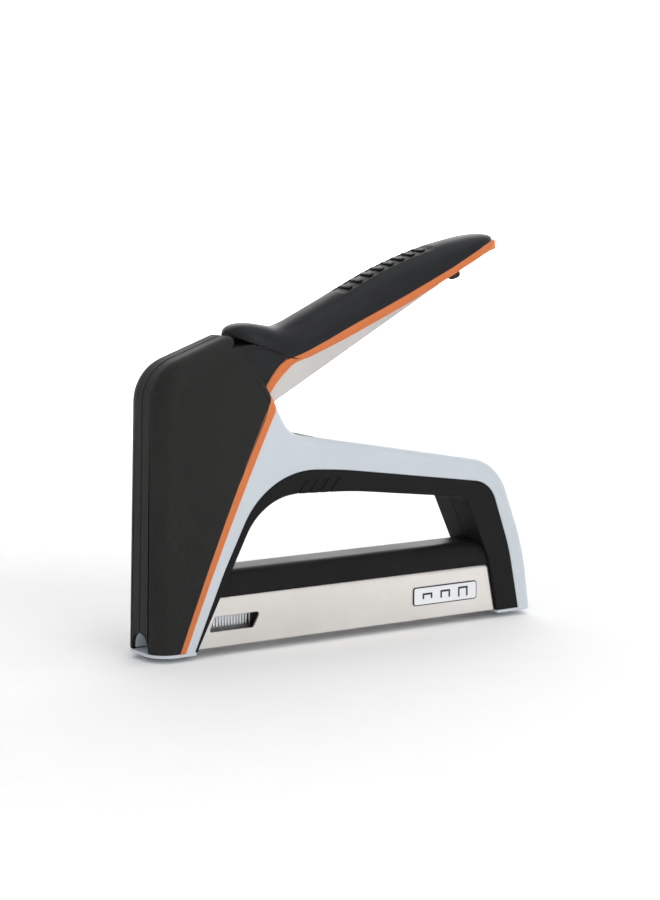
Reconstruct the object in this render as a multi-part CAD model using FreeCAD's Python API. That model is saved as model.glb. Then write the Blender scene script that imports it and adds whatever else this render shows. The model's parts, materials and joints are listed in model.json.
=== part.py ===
import FreeCAD, Part
import math
import os

# Hand staple gun for heavy-duty staples.
# X runs from the nose (front) to the foot (rear), Y across, Z up, in millimetres.
# The parts are drawn with X = 0 at the front of the nose and Z = 0 under the steel nose tip,
# then moved so that the origin is at the bottom centre of the whole tool.

# overall
overallLength = 171.5
noseHalfWidth = 13.0
footHalfWidth = 10.8
footBase = 2.0
rimTop = 3.2

# walls
coverWall = 1.6
shellWall = 1.7
linerWall = 2.4
cavityHalfWidth = 9.5
neckHalfSpace = 10.9
neckDoorHalf = 10.6
frontRounding = 8.5
handleRounding = 4.0

# lever, which turns about a pin across the nose
pivotX = 44.0
pivotZ = 82.0
leverTravel = 29.0
leverHalfWidth = 10.9
leverEnd = 159.0
neckHalfWidth = 10.2
neckRadius = 31.0
neckWall = 2.5
neckInnerRadius = 12.0
armInner = 7.2
armOuter = 8.7
pivotPinRadius = 3.0
pivotPinEnd = 10.7
bushRadius = 4.4

# plunger, driver blade and main spring
plungerX = 13.5
plungerRadius = 6.5
plungerBore = 5.3
plungerBottom = 34.0
plungerFloor = 40.0
plungerTop = 80.0
liftPinRadius = 2.0
liftPinEnd = 9.2
bladeFront = 10.0
bladeThickness = 1.2
bladeHalfWidth = 5.3
bladeBottom = 0.7
bladeTop = 39.0
seatBottom = 100.8
springWire = 1.8
springRadius = 4.2
springTurns = 11

# magazine
guideFront = 8.6
guideSheet = 1.25
guideTop = 30.0
shroudFront = 16.0
shroudHalfWidth = 9.8
shroudBottom = 3.4
shroudTop = 21.7
sheet = 1.0
railEnd = 150.0
railHalfWidth = 4.65
railTop = 15.7
railBottom = 6.0
rodRadius = 1.5
rodZ = 10.2
barTop = 30.8
barHalfWidth = 9.7

# staples: flat wire, 10.6 mm crown, 6 mm legs
stapleCrown = 10.6
stapleWire = 0.5
staplePitch = 1.27
stapleGap = 0.05
stapleTop = 16.3
stapleBottom = 9.9
stapleCount = 25
stripFront = 11.4

# where the liner's finger grooves start
fingerGrooves = [59.0, 63.8, 68.7, 73.5]

# body screws and their places (x, z), turned in from the right side
screwPlaces = [(31.0, 62.0), (82.0, 69.5), (126.0, 61.5), (162.3, 33.0)]
screwRadius = 1.7
screwHeadRadius = 3.0
bossRadius = 3.3

liftAngle = math.radians(leverTravel / 2)
liftReach = pivotX - plungerX
liftPinZ = pivotZ - liftReach * math.tan(liftAngle)
plungerTravel = 2 * liftReach * math.tan(liftAngle)

# outlines seen from the left side, as corners (x, z, rounding)
housingOutline = [
    (0.0, footBase, 0.0),
    (2.6, 105.0, 17.0),
    (36.9, 116.9, 0.0),
    (51.9, 92.4, 0.0),
    (58.6, 79.7, 9.0),
    (155.5, 61.2, 20.0),
    (168.2, 27.0, 90.0),
    (overallLength, footBase, 0.0),
]
loopOutline = [
    (14.6, -1.5, 0.0),
    (45.7, 57.9, 25.0),
    (85.0, 56.2, 150.0),
    (138.4, 49.2, 6.0),
    (150.2, 23.0, 40.0),
    (155.0, -1.5, 0.0),
]
linerOutline = [
    (13.9, -1.5, 0.0),
    (28.5, 31.0, 110.0),
    (47.4, 67.2, 33.0),
    (80.0, 64.7, 200.0),
    (150.3, 54.0, 12.0),
    (159.6, 27.5, 80.0),
    (165.3, -1.5, 0.0),
]
noseCavity = [
    (5.8, 23.0, 0.0),
    (6.3, 100.8, 0.0),
    (10.5, 103.6, 0.0),
    (34.0, 111.6, 0.0),
    (44.0, 125.0, 0.0),
    (76.0, 98.0, 0.0),
    (68.5, 75.5, 2.0),
    (66.0, 70.5, 2.0),
    (52.0, 68.8, 8.0),
    (34.0, 45.5, 8.0),
    (22.0, 23.0, 0.0),
]
# the room the lever's neck turns in, wider than the cavity
neckOutline = [
    (17.0, 85.6, 0.0),
    (17.0, 106.2, 0.0),
    (33.6, 111.9, 0.0),
    (44.0, 125.0, 0.0),
    (76.0, 98.0, 0.0),
    (64.0, 84.8, 0.0),
    (48.5, 84.8, 0.0),
    (47.5, 85.6, 0.0),
]
armOutline = [
    (8.6, 69.6, 2.5),
    (40.0, 73.2, 10.0),
    (51.8, 76.5, 5.0),
    (52.6, 91.4, 2.0),
    (127.5, 131.4, 1.0),
    (126.4, 134.0, 1.0),
    (67.0, 110.2, 6.0),
    (51.0, 106.6, 8.0),
    (38.0, 90.0, 10.0),
    (24.0, 81.0, 12.0),
    (8.6, 78.6, 2.5),
]
cheekOutline = [
    (30.0, 86.0), (46.4, 89.5), (50.6, 100.8), (56.7, 107.0), (57.0, 111.0), (44.0, 112.6),
    (40.0, 130.0), (20.5, 112.0), (19.0, 104.0),
]
# keeps the hood 0.35 clear of the nose's top and of its slanting rear edge
hoodClearance = [(20.0, 100.0), (20.0, 111.4), (37.05, 117.32), (37.25, 117.1), (46.0, 102.7), (46.0, 100.0)]
trimCurve = [
    (44.8, 90.5), (48.2, 90.5), (50.6, 95.4), (52.8, 98.3), (55.2, 100.8), (57.6, 103.0), (59.3, 104.5),
    (61.5, 105.7), (64.6, 106.5), (66.5, 107.4), (66.0, 109.6), (62.5, 107.6), (59.8, 107.3), (56.9, 106.7),
    (54.8, 105.4), (52.8, 103.6), (50.7, 101.0), (48.7, 98.2), (46.5, 94.3),
]
trimLower = [(64.6, 106.4), (88.0, 115.2), (109.8, 124.3), (149.0, 141.9, 20.0), (157.6, 143.4, 2.0)]
trimUpper = [(159.4, 147.6, 2.0), (155.0, 148.5), (148.9, 146.0), (109.7, 127.9), (88.0, 118.9), (66.7, 109.9)]

# lever grip across its length: x, lower edge, crown height, half width
gripSections = [
    (36.4, 116.9, 117.6, 0.8),
    (37.2, 116.7, 118.2, 3.2),
    (38.6, 116.0, 119.2, 5.4),
    (41.0, 114.8, 119.9, 7.6),
    (44.0, 113.5, 120.2, 9.3),
    (48.0, 112.3, 120.0, 10.5),
    (52.0, 111.3, 119.2, 10.8),
    (57.0, 110.1, 118.5, 10.8),
    (62.0, 109.3, 119.3, 10.8),
    (67.0, 110.1, 121.5, 10.8),
    (78.0, 114.7, 126.4, 10.8),
    (89.0, 119.4, 131.5, 10.8),
    (100.0, 123.8, 136.5, 10.8),
    (110.0, 128.1, 140.3, 10.8),
    (121.0, 132.9, 143.8, 10.7),
    (132.0, 137.7, 146.5, 10.4),
    (143.0, 142.9, 148.5, 9.7),
    (148.5, 145.7, 149.1, 8.9),
    (152.5, 147.2, 149.0, 7.2),
    (155.0, 147.8, 148.7, 4.6),
    (156.2, 148.0, 148.4, 2.0),
]


def vec(x, y, z):
    return FreeCAD.Vector(x, y, z)


def roundedWire(corners, place):
    """A closed wire of straight runs and tangent arcs. place(u, v) gives the point in space."""
    flat = [FreeCAD.Vector(c[0], c[1], 0) for c in corners]
    starts = []
    for i, corner in enumerate(corners):
        point = flat[i]
        radius = corner[2] if len(corner) > 2 else 0.0
        if radius <= 0:
            starts.append((point, None, point))
            continue
        back = flat[i - 1] - point
        ahead = flat[(i + 1) % len(flat)] - point
        back.normalize()
        ahead.normalize()
        half = back.getAngle(ahead) / 2
        run = radius / math.tan(half)
        middle = back + ahead
        middle.normalize()
        depth = radius / math.sin(half) - radius
        starts.append((point + back * run, point + middle * depth, point + ahead * run))
    edges = []
    for i, (first, mid, last) in enumerate(starts):
        if mid is not None:
            arc = Part.Arc(place(first.x, first.y), place(mid.x, mid.y), place(last.x, last.y))
            edges.append(arc.toShape())
        after = starts[(i + 1) % len(starts)][0]
        if (after - last).Length > 1e-6:
            edges.append(Part.LineSegment(place(last.x, last.y), place(after.x, after.y)).toShape())
    return Part.Wire(edges)


def sideFace(corners):
    return Part.Face(roundedWire(corners, lambda x, z: vec(x, 0, z)))


def slab(face, low, high):
    moved = face.copy()
    moved.translate(vec(0, low, 0))
    return moved.extrude(vec(0, high - low, 0))


def sideSolid(corners, low, high):
    return slab(sideFace(corners), low, high)


def planSolid(corners, low, high):
    face = Part.Face(roundedWire(corners, lambda x, y: vec(x, y, low)))
    return face.extrude(vec(0, 0, high - low))


def block(x0, x1, y0, y1, z0, z1):
    return Part.makeBox(x1 - x0, y1 - y0, z1 - z0, vec(x0, y0, z0))


def crossPin(x, z, radius, y0, y1):
    return Part.makeCylinder(radius, y1 - y0, vec(x, y0, z), vec(0, 1, 0))


def bothSides(y0, y1, build):
    """build(low, high) at +y0..y1 and at its mirror image."""
    return build(y0, y1).fuse(build(-y1, -y0))


def single(shape):
    """The solids of a boolean result, without its compound wrapper."""
    cleaned = shape.removeSplitter()
    solids = cleaned.Solids
    return solids[0] if len(solids) == 1 else Part.makeCompound(solids)


def largest(shape):
    return max(shape.Solids, key=lambda s: s.Volume)


def halfWidthAt(x):
    return noseHalfWidth + (footHalfWidth - noseHalfWidth) * x / overallLength


def insetFace(face, inset):
    if inset == 0:
        return face
    return Part.Face(face.OuterWire.makeOffset2D(-inset))


def taperedSlab(face, inset):
    """The side outline given the housing's width, which narrows towards the foot."""
    front = halfWidthAt(-10) - inset
    rear = halfWidthAt(overallLength + 10) - inset
    plan = [(-10, -front), (overallLength + 10, -rear), (overallLength + 10, rear), (-10, front)]
    prism = planSolid(plan, -10, 130)
    return single(slab(face, -20, 20).common(prism))


def edgesAlong(solid, inside):
    """Long side edges of a solid whose middle point passes the test."""
    found = []
    for edge in solid.Edges:
        middle = edge.valueAt((edge.FirstParameter + edge.LastParameter) / 2)
        if edge.Length > 2 and abs(middle.y) > 5 and inside(middle.x, middle.z):
            found.append(edge)
    return found


def filletOr(solid, radius, edges):
    if not edges:
        print("no edges to round")
        return solid
    try:
        rounded = solid.makeFillet(radius, edges)
        if rounded.isValid():
            return rounded.Solids[0]
    except Exception as problem:
        print("fillet left out:", problem)
    return solid


def envelope(inset):
    """The housing's outer form, or the same form set in by a wall thickness."""
    solid = taperedSlab(insetFace(sideFace(housingOutline), inset), inset)
    noseEdges = edgesAlong(solid, lambda x, z: z > 20 and x < 34)
    solid = filletOr(solid, frontRounding - inset, noseEdges)
    handleEdges = edgesAlong(solid, lambda x, z: x > 62 and z > 10 and z < 85)
    return filletOr(solid, max(handleRounding - inset, 0.6), handleEdges)


def loopSolid(grow, halfWidth):
    face = sideFace(loopOutline)
    if grow:
        face = Part.Face(face.OuterWire.makeOffset2D(grow))
    return slab(face, -halfWidth, halfWidth)


def regionAhead(lowX, midX, highX, highZ):
    """Everything in front of the bowed slanting line that ends the nose cover, above the rim."""
    low = vec(lowX, 0, rimTop)
    mid = vec(midX, 0, 49.0)
    high = vec(highX, 0, highZ)
    corner = [high, vec(highX + 20, 0, highZ + 20), vec(40, 0, 140), vec(-20, 0, 140), vec(-20, 0, rimTop), low]
    edges = [Part.Arc(low, mid, high).toShape()]
    for a, b in zip(corner, corner[1:]):
        edges.append(Part.LineSegment(a, b).toShape())
    return slab(Part.Face(Part.Wire(edges)), -20, 20)


def annulus(inner, outer, low, high):
    ring = crossPin(pivotX, pivotZ, outer, low, high)
    return ring.cut(crossPin(pivotX, pivotZ, inner, low - 1, high + 1))


def halves(shape):
    left = shape.common(block(-20, 200, -30, 0, -20, 160))
    right = shape.common(block(-20, 200, 0, 30, -20, 160))
    return left, right


# ---------------------------------------------------------------- magazine

def makeShroud():
    outline = [
        (shroudFront, shroudBottom, 0.0),
        (shroudFront, shroudTop, 0.0),
        (150.5, shroudTop, 1.8),
        (154.0, shroudBottom, 0.0),
    ]
    outer = sideSolid(outline, -shroudHalfWidth, shroudHalfWidth)
    topEdges = [e for e in outer.Edges if abs(e.CenterOfMass.z - shroudTop) < 0.01 and e.Length > 60]
    outer = filletOr(outer, 1.2, [e for e in topEdges if abs(abs(e.CenterOfMass.y) - shroudHalfWidth) < 0.01])
    inner = block(0, 200, -shroudHalfWidth + sheet, shroudHalfWidth - sheet, -5, shroudTop - sheet)
    window = [(23.6, 9.0, 0.9), (43.0, 9.0, 0.9), (45.7, 14.6, 0.9), (26.3, 14.6, 0.9)]
    return single(outer.cut(inner).cut(sideSolid(window, -20, 20)))


def makeCoverBar():
    body = block(25.0, 154.0, -barHalfWidth, barHalfWidth, shroudTop, barTop)
    crown = [e for e in body.Edges if e.Length > 100 and abs(e.CenterOfMass.z - barTop) < 0.01]
    return body.makeFillet(5.0, crown)


def makeRail():
    core = block(stripFront + 0.1, railEnd, -railHalfWidth, railHalfWidth, railBottom - sheet, railTop)
    hollow = block(0, 200, -railHalfWidth + sheet, railHalfWidth - sheet, -5, railTop - sheet)
    slot = block(22.0, 200, -1.4, 1.4, 10, 20)
    flangeEnd = shroudHalfWidth - sheet
    flanges = bothSides(
        railHalfWidth - sheet,
        flangeEnd,
        lambda low, high: block(shroudFront, railEnd, low, high, railBottom - sheet, railBottom),
    )
    return single(core.cut(hollow).cut(slot).fuse(flanges))


def makeStrip():
    half = stapleCrown / 2
    width = staplePitch - stapleGap
    staples = []
    for n in range(stapleCount):
        x = stripFront + n * staplePitch
        outer = block(x, x + width, -half, half, stapleBottom, stapleTop)
        inner = block(x - 1, x + 2, -half + stapleWire, half - stapleWire, 0, stapleTop - stapleWire)
        staples.append(outer.cut(inner))
    return Part.makeCompound(staples)


def makeGuide():
    outerHalf = bladeHalfWidth + 1.3
    innerHalf = bladeHalfWidth + 0.3
    body = block(guideFront, 15.6, -outerHalf, outerHalf, 0, guideTop)
    channel = block(guideFront + guideSheet, 20, -innerHalf, innerHalf, -1, guideTop + 1)
    backPlate = block(11.35, 12.6, -innerHalf, innerHalf, 17.0, guideTop)
    return single(body.cut(channel).fuse(backPlate))


def makePusher(x0):
    x1 = x0 + 14.0
    saddle = block(x0, x1, -5.6, 5.6, 9.0, 17.4)
    saddle = saddle.cut(block(x0 - 1, x1 + 1, -railHalfWidth - 0.25, railHalfWidth + 0.25, 0, railTop + 0.25))
    web = block(x0 + 1, x1 - 1, -1.1, 1.1, 12.0, 17.0)
    rider = block(x0 + 1, x1 - 1, -3.3, 3.3, 7.0, 13.8)
    bore = Part.makeCylinder(rodRadius + 0.08, 40, vec(x0 - 10, 0, rodZ), vec(1, 0, 0))
    return single(saddle.fuse(web).fuse(rider).cut(bore))


def makeLatch(housing):
    """The end cap that the guide rod is pulled out by. Its rear face follows the foot."""
    body = block(152.5, 175, -6.0, 6.0, 3.9, 17.3).common(housing)
    for i in range(4):
        z = 6.4 + i * 2.2
        for low, high in ((-7, -5.4), (5.4, 7)):
            body = body.cut(block(166.0, 176, low, high, z, z + 1.1))
    rodHole = Part.makeCylinder(rodRadius, 9.0, vec(152, 0, rodZ), vec(1, 0, 0))
    return single(body.cut(rodHole))


def helix(radius, wire, length, turns, base, axis):
    """A closed coil: the wire's round section swept along a helix."""
    spine = Part.makeHelix(length / turns, length, radius)
    section = Part.Wire(Part.makeCircle(wire / 2, vec(radius, 0, 0), vec(0, 1, 0)))
    coil = Part.Wire(spine.Edges).makePipeShell([section], True, True)
    coil.Placement = FreeCAD.Placement(base, FreeCAD.Rotation(vec(0, 0, 1), axis))
    return coil


# ---------------------------------------------------------------- plunger

def makePlunger():
    tube = Part.makeCylinder(plungerRadius, plungerTop - plungerBottom, vec(plungerX, 0, plungerBottom))
    bore = Part.makeCylinder(plungerBore, 60, vec(plungerX, 0, plungerFloor))
    tube = tube.cut(bore)
    tube = tube.cut(block(bladeFront, bladeFront + bladeThickness, -bladeHalfWidth, bladeHalfWidth, 0, bladeTop))
    for window in (50.0, 61.0):
        tube = tube.cut(block(plungerX - 2.4, plungerX + 2.4, -10, 10, window, window + 8))
    tube = tube.cut(crossPin(plungerX, liftPinZ, liftPinRadius, -10, 10))
    rivetHole = Part.makeCylinder(1.2, 30, vec(0, 0, 36.8), vec(1, 0, 0))
    return single(tube.cut(rivetHole))


def makeBlade():
    blade = block(bladeFront, bladeFront + bladeThickness, -bladeHalfWidth, bladeHalfWidth, bladeBottom, bladeTop)
    return blade.cut(Part.makeCylinder(1.2, 30, vec(0, 0, 36.8), vec(1, 0, 0)))


def makeLiftPins():
    return bothSides(
        plungerBore + 0.1,
        liftPinEnd,
        lambda low, high: crossPin(plungerX, liftPinZ, liftPinRadius, low, high),
    )


# ---------------------------------------------------------------- lever

def makeArms():
    """The folded steel lever: two side plates and the web that joins them under the grip."""
    plates = bothSides(armInner, armOuter, lambda low, high: sideSolid(armOutline, low, high))
    web = sideSolid([(70.0, 110.2), (126.0, 132.6), (125.4, 134.1), (69.4, 111.7)], -armOuter, armOuter)
    body = plates.fuse(web)
    toPin = vec(plungerX - pivotX, 0, liftPinZ - pivotZ)
    far = toPin.Length
    toPin.normalize()
    play = 0.35
    slotHalf = liftPinRadius + play
    near = vec(pivotX, 0, pivotZ) + toPin * (liftReach - play)
    end = vec(pivotX, 0, pivotZ) + toPin * (far + play)
    for point in (near, end):
        body = body.cut(crossPin(point.x, point.z, slotHalf, -20, 20))
    side = vec(-toPin.z, 0, toPin.x) * slotHalf
    corners = [near + side, end + side, end - side, near - side]
    body = body.cut(sideSolid([(c.x, c.z) for c in corners], -20, 20))
    return single(body.cut(crossPin(pivotX, pivotZ, bushRadius, -20, 20)))


def gripSection(x, low, top, half):
    shoulder = low + 0.35 * (top - low)
    a = vec(x, -half, low)
    b = vec(x, -half, shoulder)
    c = vec(x, half, shoulder)
    d = vec(x, half, low)
    return Part.Wire([
        Part.LineSegment(a, b).toShape(),
        Part.Arc(b, vec(x, 0, top), c).toShape(),
        Part.LineSegment(c, d).toShape(),
        Part.LineSegment(d, a).toShape(),
    ])


def leverPlan():
    corners = [
        (0.0, -leverHalfWidth), (140.0, -leverHalfWidth), (leverEnd, -9.7, 9.2),
        (leverEnd, 9.7, 9.2), (140.0, leverHalfWidth), (0.0, leverHalfWidth),
    ]
    return planSolid(corners, 60, 160)


def neckSkin(low, high):
    """Side cheek of the neck guard, from the hood down to the part that turns inside the nose."""
    ring = annulus(neckInnerRadius, neckRadius, low, high)
    cheek = ring.common(sideSolid(cheekOutline, -20, 20))
    rear = sideSolid([(44, 100), (50.6, 102.0), (57.5, 108.0), (64.0, 109.3), (57, 111), (44, 112.6)], low, high)
    return cheek.fuse(rear)


def makeTrimCurve(low, high):
    """Strip that follows the rear edge of the cheek down into the nose."""
    return sideSolid(trimCurve, low, high)


def makeGrip(inset, arms, trim, fittings):
    loft = Part.makeLoft([gripSection(*s) for s in gripSections], True, True)
    loft = loft.common(leverPlan()).cut(sideSolid(hoodClearance, -20, 20))
    return single(loft.cut(inset).cut(arms).cut(trim).cut(fittings))


def makeNeckGuard(grip, arms, trim):
    """The moulded skin that covers the lever's fork where it turns inside the nose."""
    cheeks = bothSides(armOuter + 0.2, neckHalfWidth, neckSkin)
    shieldArc = annulus(neckRadius - neckWall, neckRadius, -armOuter - 0.2, armOuter + 0.2)
    shield = shieldArc.common(sideSolid([(pivotX, pivotZ), (20, 106.5), (19, 125), (46, 125)], -20, 20))
    return single(cheeks.fuse(shield).cut(grip).cut(arms).cut(trim))


def trimCurves():
    return bothSides(armOuter + 0.2, neckHalfWidth + 0.2, makeTrimCurve)


def makeTrim():
    band = sideSolid(trimLower + trimUpper, -leverHalfWidth, leverHalfWidth).common(leverPlan())
    core = block(0, 150.5, -armOuter - 0.3, armOuter + 0.3, 90, 160)
    return band.cut(core).fuse(trimCurves())


leverSlope = math.degrees(math.atan2(146.0 - 121.4, 130.0 - 66.7))


def alongLever(shape, x, z):
    """Places a shape drawn flat at the origin on the lever, square to its slope."""
    shape.rotate(vec(0, 0, 0), vec(0, 1, 0), -leverSlope)
    shape.translate(vec(x, 0, z))
    return shape


def makeInset():
    pad = planSolid([(-22, -4.6, 2), (22, -4.6, 2), (22, 4.6, 2), (-22, 4.6, 2)], -2.2, -0.4)
    for i in range(8):
        x = -17.5 + 5.0 * i
        pad = pad.fuse(block(x - 0.9, x + 0.9, -3.6, 3.6, -1.0, 0.2))
    return alongLever(pad, 106.0, 137.4)


def makeBumper():
    height = 9.0
    stud = Part.makeCylinder(2.6, height + 0.5, vec(0, 0, -height))
    bottom = [e for e in stud.Edges if abs(e.CenterOfMass.z + height) < 0.01 and e.Length > 10]
    return alongLever(stud.makeFillet(1.2, bottom), 137.2, 141.0)


def makeRivets():
    shapes = []
    for x, z in ((80.0, 114.8), (114.0, 128.4)):
        stem = Part.makeCylinder(1.6, 7.0, vec(0, 0, -1.5))
        head = Part.makeCylinder(3.2, 1.0, vec(0, 0, -2.5))
        shapes.append(alongLever(stem.fuse(head), x, z))
    return shapes


# ---------------------------------------------------------------- housing

def screwShape(x, z):
    outside = halfWidthAt(x)
    head = crossPin(x, z, screwHeadRadius, outside - 3.0, outside - 0.9)
    recess = crossPin(x, z, 1.3, outside - 2.2, outside)
    shank = crossPin(x, z, screwRadius, -8.0, outside - 3.0)
    return head.cut(recess).fuse(shank)


def noseArch():
    """The arched notch at the bottom of the nose's front, through which the driver guide shows."""
    half = 5.6
    shoulder = 5.0
    crown = 9.8
    a = vec(-5, -half, rimTop)
    b = vec(-5, -half, shoulder)
    c = vec(-5, half, shoulder)
    d = vec(-5, half, rimTop)
    wire = Part.Wire([
        Part.LineSegment(a, b).toShape(),
        Part.Arc(b, vec(-5, 0, crown), c).toShape(),
        Part.LineSegment(c, d).toShape(),
        Part.LineSegment(d, a).toShape(),
    ])
    return Part.Face(wire).extrude(vec(5 + guideFront, 0, 0))


def fingerGroove(x):
    """One slanting groove in each liner's side, open towards the loop."""
    low, high = 55.0, 61.8
    lean = 5.7
    outline = [(x - 0.5, low), (x + 0.5, low), (x + 0.5 + lean, high), (x - 0.5 + lean, high)]
    depth = halfWidthAt(x) - 0.7
    return sideSolid(outline, -20, -depth).fuse(sideSolid(outline, depth, 20))


def makeHousing(bar, latchTunnel):
    """Left and right body shells, nose covers, accent strips and grip liners."""
    outer = envelope(0)
    under = envelope(coverWall)
    inner = envelope(coverWall + shellWall)
    loop = loopSolid(0, 30)
    frame = outer.cut(loop)
    coverZone = regionAhead(9.8, 29.0, 52.0, 98.3)
    stripZone = regionAhead(12.1, 32.0, 54.6, 95.4)
    arch = noseArch()
    tunnels = [
        block(shroudFront - 0.2, 40, -shroudHalfWidth, shroudHalfWidth, -5, shroudTop),
        block(guideFront, 16, -bladeHalfWidth - 1.3, bladeHalfWidth + 1.3, -5, guideTop),
        latchTunnel,
        bar,
        arch,
    ]
    neck = sideSolid(neckOutline, -neckHalfSpace, neckHalfSpace)
    openNose = inner.fuse(block(36, 90, -30, 30, 68, 130)).fuse(block(5, 40, -30, 30, 20, 60))
    openNose = openNose.fuse(block(5, 40, -8.9, 8.9, 60, 100))
    cavity = sideSolid(noseCavity, -cavityHalfWidth, cavityHalfWidth)

    skin = outer.cut(under).common(stripZone)
    underSole = under.copy()
    underSole.translate(vec(0, 0, -2.0))
    neckDoor = sideSolid(neckOutline, -neckDoorHalf, neckDoorHalf)
    openSkin = skin.cut(underSole).cut(neckDoor)
    cover = openSkin.common(coverZone).cut(arch)
    strip = openSkin.cut(coverZone)
    rightCover = largest(halves(cover)[1])
    leftCover = rightCover.mirror(vec(0, 0, 0), vec(0, 1, 0))

    band = sideSolid(linerOutline, -30, 30).common(frame)
    core = taperedSlab(sideFace(housingOutline), 2.0).cut(loopSolid(linerWall, 30))
    soleTop = block(-20, 200, -30, 30, -20, rimTop)
    liner = band.cut(core).cut(soleTop)
    for x in fingerGrooves:
        liner = liner.cut(fingerGroove(x))

    shell = frame.cut(skin).cut(liner)
    hollowWide = taperedSlab(insetFace(sideFace(housingOutline), 2.4), 3.8)
    handleHollow = hollowWide.cut(loopSolid(linerWall + 2.0, 30)).common(block(72, 160, -30, 30, 26, 90))
    shell = shell.cut(handleHollow)
    shell = shell.cut(sideSolid(neckOutline, -14, 14).common(stripZone))
    shell = shell.cut(neck)
    shell = shell.cut(cavity.common(openNose))
    for x, z in screwPlaces:
        boss = crossPin(x, z, bossRadius, -halfWidthAt(x) + 2.0, halfWidthAt(x) - 2.0)
        shell = shell.fuse(boss.common(under))
    for tunnel in tunnels:
        shell = shell.cut(tunnel)
        liner = liner.cut(tunnel)
    shell = shell.cut(crossPin(pivotX, pivotZ, pivotPinRadius, -pivotPinEnd, pivotPinEnd))
    for x, z in screwPlaces:
        bore = crossPin(x, z, screwRadius, -8.0, 30)
        counterbore = crossPin(x, z, screwHeadRadius + 0.15, halfWidthAt(x) - 3.0, 30)
        shell = shell.cut(bore).cut(counterbore)
        rightCover = rightCover.cut(counterbore)
    parts = {"left_nose_cover": leftCover, "right_nose_cover": rightCover}
    for name, shape in (("body_shell", shell), ("accent_strip", strip), ("grip_liner", liner)):
        for side, half in zip(("left", "right"), halves(shape)):
            parts[side + "_" + name] = largest(half)
    return parts


def main():
    os.makedirs("parts", exist_ok=True)
    housing = envelope(0)
    latchTunnel = block(148.0, 180, -6.2, 6.2, 3.7, 17.6).fuse(block(166.5, 180, -8.8, 8.8, 6.0, 15.5))
    bar = makeCoverBar()
    arms = makeArms()
    inset = makeInset()
    guide = makeGuide()
    stripEnd = stripFront + stapleCount * staplePitch
    pusherRear = stripEnd + 14.2

    parts = makeHousing(bar, latchTunnel)
    parts["magazine_cover_bar"] = bar
    parts["magazine_shroud"] = makeShroud()
    parts["staple_rail"] = makeRail()
    parts["staple_strip"] = makeStrip()
    parts["driver_guide"] = guide
    label = [(114.5, 8.8, 1.2), (144.5, 8.8, 1.2), (144.5, 16.0, 1.2), (114.5, 16.0, 1.2)]
    parts["left_label_plate"] = sideSolid(label, -shroudHalfWidth - 0.5, -shroudHalfWidth)
    parts["right_label_plate"] = sideSolid(label, shroudHalfWidth, shroudHalfWidth + 0.5)
    bumper = block(guideFront, 18.4, -9.0, 9.0, guideTop, plungerBottom)
    parts["plunger_bumper"] = bumper.cut(block(9.5, 11.7, -5.8, 5.8, 0, 60))
    seat = block(6.8, 19.6, -9.2, 9.2, seatBottom, seatBottom + 1.5)
    post = Part.makeCylinder(2.6, 14, vec(plungerX, 0, seatBottom - 14))
    parts["spring_seat"] = seat.common(envelope(coverWall + shellWall)).fuse(post)
    parts["main_spring"] = helix(springRadius, springWire, seatBottom - plungerFloor - springWire, springTurns,
                                 vec(plungerX, 0, plungerFloor + springWire / 2), vec(0, 0, 1))
    parts["lever_pivot_pin"] = crossPin(pivotX, pivotZ, pivotPinRadius, -pivotPinEnd, pivotPinEnd)
    parts["body_screws"] = Part.makeCompound([screwShape(x, z) for x, z in screwPlaces])

    parts["plunger"] = makePlunger()
    parts["driver_blade"] = makeBlade()
    parts["blade_rivet"] = Part.makeCylinder(1.2, 11.0, vec(plungerX - 5.5, 0, 36.8), vec(1, 0, 0))
    parts["lift_pins"] = makeLiftPins()

    rivets = Part.makeCompound(makeRivets())
    trim = makeTrim()
    parts["lever_arms"] = single(arms.cut(rivets))
    bumperStud = makeBumper()
    parts["lever_grip"] = makeGrip(inset, arms, trim, rivets.fuse(bumperStud))
    parts["lever_neck_guard"] = makeNeckGuard(parts["lever_grip"], arms, trim)
    parts["lever_trim"] = trim
    parts["lever_inset"] = inset
    parts["lever_bumper"] = bumperStud
    parts["lever_rivets"] = rivets
    bush = crossPin(pivotX, pivotZ, bushRadius, -armOuter - 0.4, armOuter + 0.4)
    parts["lever_bushing"] = bush.cut(crossPin(pivotX, pivotZ, pivotPinRadius + 0.05, -20, 20))

    parts["guide_rod"] = Part.makeCylinder(rodRadius, 161 - 17, vec(17, 0, rodZ), vec(1, 0, 0))
    clip = Part.makeCylinder(2.9, 0.8, vec(18.0, 0, rodZ), vec(1, 0, 0))
    parts["rod_clip"] = clip.cut(Part.makeCylinder(rodRadius, 3, vec(17.5, 0, rodZ), vec(1, 0, 0)))
    parts["magazine_latch"] = makeLatch(housing)
    parts["pusher"] = makePusher(stripEnd + 0.2)
    parts["pusher_spring"] = helix(2.6, 0.6, 152.5 - pusherRear - 1.2, 30,
                                   vec(pusherRear + 0.3, 0, rodZ), vec(1, 0, 0))

    for name, shape in parts.items():
        shape.translate(vec(-overallLength / 2, 0, 0))
        shape.exportStep("parts/" + name + ".step")
        box = shape.BoundBox
        print("%-20s %s solids %d volume %8.1f  x %.1f..%.1f y %.1f..%.1f z %.1f..%.1f" % (
            name, "ok " if shape.isValid() else "BAD", len(shape.Solids), shape.Volume,
            box.XMin, box.XMax, box.YMin, box.YMax, box.ZMin, box.ZMax))
    print("lever pivot", pivotX - overallLength / 2, pivotZ, "plunger travel", plungerTravel,
          "per radian", plungerTravel / math.radians(leverTravel))


main()
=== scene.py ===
import json
import math

import bmesh
import bpy
from mathutils import Matrix, Vector
from mathutils.bvhtree import BVHTree


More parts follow.
